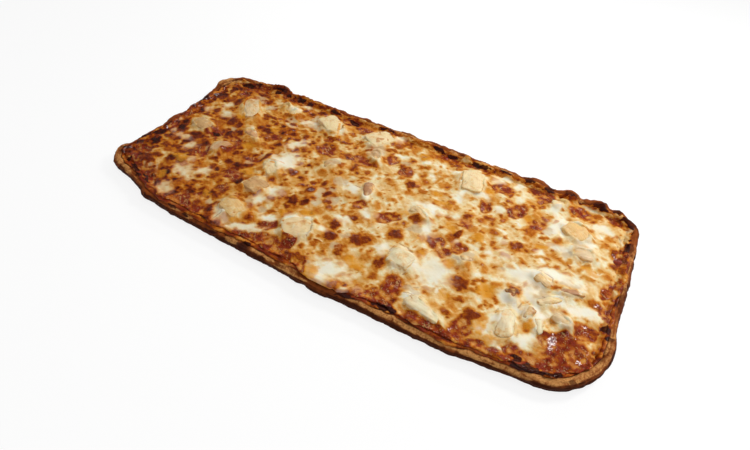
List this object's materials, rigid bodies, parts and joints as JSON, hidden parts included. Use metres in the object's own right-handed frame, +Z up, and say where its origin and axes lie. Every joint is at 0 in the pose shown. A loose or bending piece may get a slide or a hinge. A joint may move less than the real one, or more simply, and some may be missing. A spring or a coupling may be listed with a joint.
{
  "type": "bbq chicken flatbread",
  "caption": "Baked oblong flatbread with a low raised rim, barbecue sauce, browned melted cheese and diced chicken.",
  "frame": {"origin": "on the surface that the crust lies on, at the middle of the flatbread's outline", "axes": "+X along the flatbread's length, +Y across it towards the higher rim, +Z up"},
  "size_m": [0.305, 0.1436, 0.0145],
  "materials": {
    "crust": "baked dough, matte, browned and charred at the rim",
    "bbq_sauce": "thick barbecue sauce, glossy",
    "cheese": "melted cheese, oily sheen, browned in spots",
    "chicken": "cooked chicken, satin"
  },
  "bodies": {
    "root": {"crust": "crust", "bbq_sauce": "bbq_sauce", "cheese": "cheese", "chicken_01": "chicken", "chicken_02": "chicken", "chicken_03": "chicken", "chicken_04": "chicken", "chicken_05": "chicken", "chicken_06": "chicken", "chicken_07": "chicken", "chicken_08": "chicken", "chicken_09": "chicken", "chicken_10": "chicken", "chicken_11": "chicken", "chicken_12": "chicken", "chicken_13": "chicken", "chicken_14": "chicken", "chicken_15": "chicken", "chicken_16": "chicken", "chicken_17": "chicken", "chicken_18": "chicken", "chicken_19": "chicken", "chicken_20": "chicken", "chicken_21": "chicken", "chicken_22": "chicken", "chicken_23": "chicken", "chicken_24": "chicken", "chicken_25": "chicken", "chicken_26": "chicken", "chicken_27": "chicken", "chicken_28": "chicken", "chicken_29": "chicken", "chicken_30": "chicken", "chicken_31": "chicken"}
  },
  "joints": []
}
